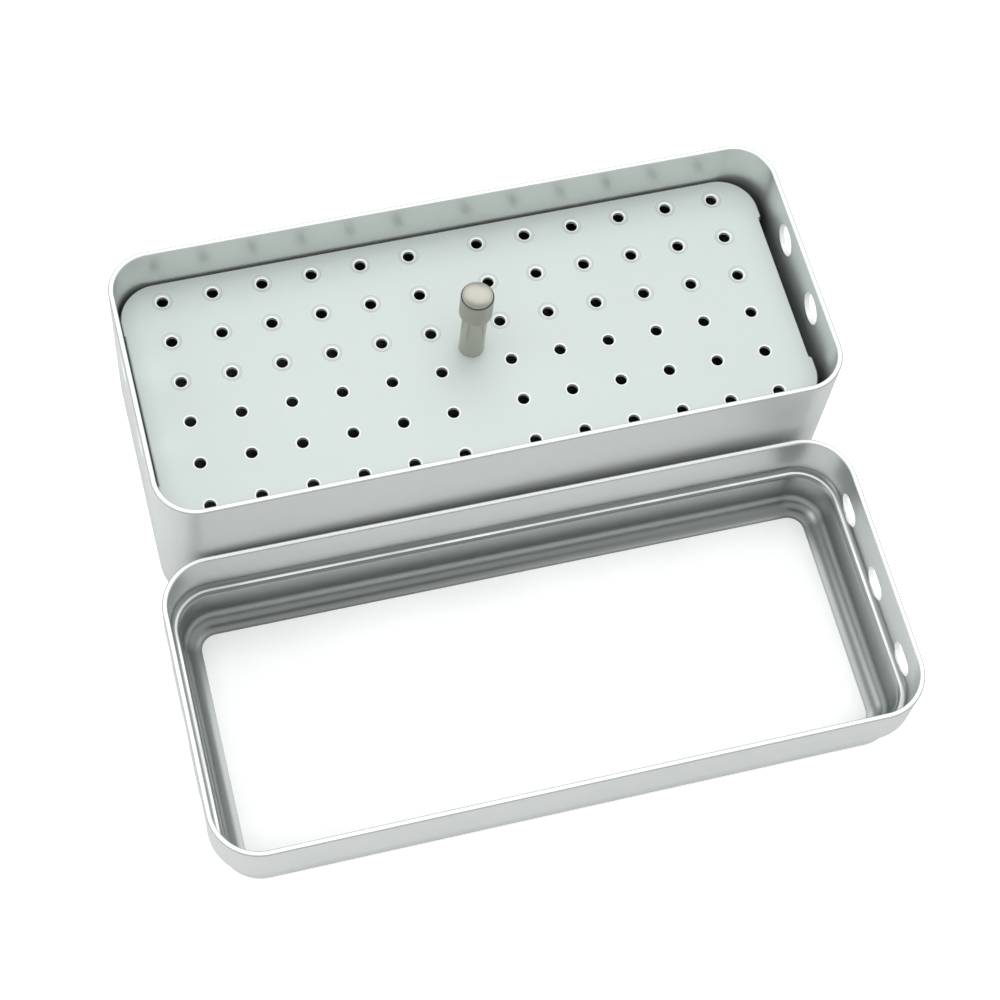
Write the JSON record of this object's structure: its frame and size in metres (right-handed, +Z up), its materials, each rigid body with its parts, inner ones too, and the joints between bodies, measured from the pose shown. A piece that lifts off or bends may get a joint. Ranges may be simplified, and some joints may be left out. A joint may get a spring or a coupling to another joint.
{
  "type": "sterilization container",
  "caption": "Drawn metal sterilization box for dental burs: open base pan with a perforated rack and a knurled lifting post, and a slip-over lid lying beside it.",
  "frame": {"origin": "centre of the underside of the base pan, on the surface it stands on", "axes": "+X along the box's length, +Y from the lid towards the base, +Z up"},
  "size_m": [0.1668, 0.1442, 0.0594],
  "materials": {
    "base_metal": "satin drawn",
    "lid_metal": "satin drawn",
    "rack_metal": "fine matt",
    "inner_plate_metal": "matt",
    "fastener_metal": "turned",
    "post_metal": "turned and knurled"
  },
  "bodies": {
    "base": {"base_shell": "base_metal"},
    "lid": {"lid_shell": "lid_metal"},
    "rack": {"rack_top_plate": "rack_metal", "guide_plate": "inner_plate_metal", "rest_plate": "inner_plate_metal", "upper_spacer": "fastener_metal", "lower_spacer": "fastener_metal", "nut_washer": "fastener_metal", "lock_nut": "fastener_metal"},
    "post": {"lift_post": "post_metal"}
  },
  "joints": [
    {"name": "lid_lift", "type": "slide", "parent": "base", "child": "lid", "axis": [0, 0, 1], "range_m": [0, 0.1]},
    {"name": "rack_lift", "type": "slide", "parent": "base", "child": "rack", "axis": [0, 0, 1], "range_m": [0, 0.07]},
    {"name": "post_turn", "type": "hinge", "parent": "rack", "child": "post", "pos_m": [-0.0006, 0.0004, 0.036], "axis": [0, 0, 1], "continuous": true}
  ]
}
